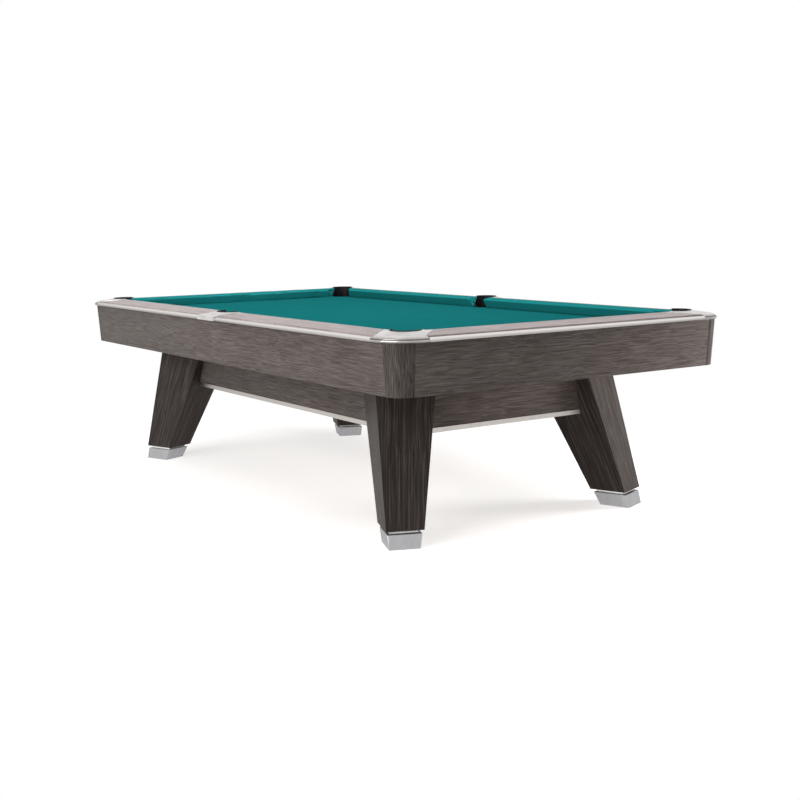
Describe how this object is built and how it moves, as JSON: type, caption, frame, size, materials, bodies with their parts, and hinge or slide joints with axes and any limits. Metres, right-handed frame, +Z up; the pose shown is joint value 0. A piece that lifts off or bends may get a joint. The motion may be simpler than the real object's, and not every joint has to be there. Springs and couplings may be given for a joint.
{
  "type": "pool table",
  "caption": "Pool table: cloth-covered slate bed, cushioned rails, cast pocket plates and cups, slanted aprons, beam frame on splayed tapered legs with levelling shoes",
  "frame": {"origin": "on the floor under the middle of the bed", "axes": "+X along the table, +Y across it, +Z up"},
  "size_m": [2.894, 1.624, 0.825],
  "materials": {
    "slate": "honed",
    "frame_lumber": "planed, unfinished",
    "bed_cloth": "napped wool cloth",
    "cushion_cloth": "napped wool cloth over rubber",
    "rail_laminate": "pale brushed laminate, satin",
    "trim_aluminium": "satin",
    "sight_pearl": "polished",
    "cast_aluminium": "polished",
    "cup_black": "moulded, fine grain",
    "dark_laminate": "dark brushed laminate, satin",
    "steel": "zinc-plated"
  },
  "bodies": {
    "table": {"slate_left": "slate", "slate_middle": "slate", "slate_right": "slate", "slate_backing": "frame_lumber", "apron_cleats": "frame_lumber", "corner_blocks": "frame_lumber", "cross_joists": "frame_lumber", "stringers": "frame_lumber", "bed_cloth": "bed_cloth", "front_cushion_left": "cushion_cloth", "front_cushion_right": "cushion_cloth", "back_cushion_left": "cushion_cloth", "back_cushion_right": "cushion_cloth", "end_cushion_left": "cushion_cloth", "end_cushion_right": "cushion_cloth", "front_rail_left": "rail_laminate", "front_rail_right": "rail_laminate", "back_rail_left": "rail_laminate", "back_rail_right": "rail_laminate", "end_rail_left": "rail_laminate", "end_rail_right": "rail_laminate", "side_rail_trims": "trim_aluminium", "end_rail_trims": "trim_aluminium", "beam_strips": "trim_aluminium", "rail_sights": "sight_pearl", "corner_casting_front_left": "cast_aluminium", "corner_casting_front_right": "cast_aluminium", "corner_casting_back_left": "cast_aluminium", "corner_casting_back_right": "cast_aluminium", "side_casting_front": "cast_aluminium", "side_casting_back": "cast_aluminium", "pocket_cup_front_left": "cup_black", "pocket_cup_front_right": "cup_black", "pocket_cup_back_left": "cup_black", "pocket_cup_back_right": "cup_black", "pocket_cup_front_middle": "cup_black", "pocket_cup_back_middle": "cup_black", "front_apron": "dark_laminate", "back_apron": "dark_laminate", "end_apron_left": "dark_laminate", "end_apron_right": "dark_laminate", "apron_corners": "dark_laminate", "front_beam": "dark_laminate", "back_beam": "dark_laminate", "end_beam_left": "dark_laminate", "end_beam_right": "dark_laminate", "leg_front_left": "dark_laminate", "leg_front_right": "dark_laminate", "leg_back_left": "dark_laminate", "leg_back_right": "dark_laminate", "rail_bolts": "steel", "leg_bolts": "steel"},
    "shoe_front_left": {"shoe_front_left": "cast_aluminium"},
    "screw_front_left": {"screw_front_left": "steel"},
    "shoe_front_right": {"shoe_front_right": "cast_aluminium"},
    "screw_front_right": {"screw_front_right": "steel"},
    "shoe_back_left": {"shoe_back_left": "cast_aluminium"},
    "screw_back_left": {"screw_back_left": "steel"},
    "shoe_back_right": {"shoe_back_right": "cast_aluminium"},
    "screw_back_right": {"screw_back_right": "steel"}
  },
  "joints": [
    {"name": "shoe_front_left_slide", "type": "slide", "parent": "table", "child": "shoe_front_left", "axis": [0, 0, -1], "range_m": [0, 0.02]},
    {"name": "screw_front_left_turn", "type": "hinge", "parent": "shoe_front_left", "child": "screw_front_left", "pos_m": [-1.06553, -0.53926, 0.03], "axis": [0, 0, 1], "range_deg": [0, 2880]},
    {"name": "shoe_front_right_slide", "type": "slide", "parent": "table", "child": "shoe_front_right", "axis": [0, 0, -1], "range_m": [0, 0.02]},
    {"name": "screw_front_right_turn", "type": "hinge", "parent": "shoe_front_right", "child": "screw_front_right", "pos_m": [1.06553, -0.53926, 0.03], "axis": [0, 0, 1], "range_deg": [0, 2880]},
    {"name": "shoe_back_left_slide", "type": "slide", "parent": "table", "child": "shoe_back_left", "axis": [0, 0, -1], "range_m": [0, 0.02]},
    {"name": "screw_back_left_turn", "type": "hinge", "parent": "shoe_back_left", "child": "screw_back_left", "pos_m": [-1.06553, 0.53926, 0.03], "axis": [0, 0, 1], "range_deg": [0, 2880]},
    {"name": "shoe_back_right_slide", "type": "slide", "parent": "table", "child": "shoe_back_right", "axis": [0, 0, -1], "range_m": [0, 0.02]},
    {"name": "screw_back_right_turn", "type": "hinge", "parent": "shoe_back_right", "child": "screw_back_right", "pos_m": [1.06553, 0.53926, 0.03], "axis": [0, 0, 1], "range_deg": [0, 2880]}
  ],
  "couplings": [
    {"joint": "screw_front_left_turn", "follows": "shoe_front_left_slide", "rad_per_m": 2513.3},
    {"joint": "screw_front_right_turn", "follows": "shoe_front_right_slide", "rad_per_m": 2513.3},
    {"joint": "screw_back_left_turn", "follows": "shoe_back_left_slide", "rad_per_m": 2513.3},
    {"joint": "screw_back_right_turn", "follows": "shoe_back_right_slide", "rad_per_m": 2513.3}
  ]
}
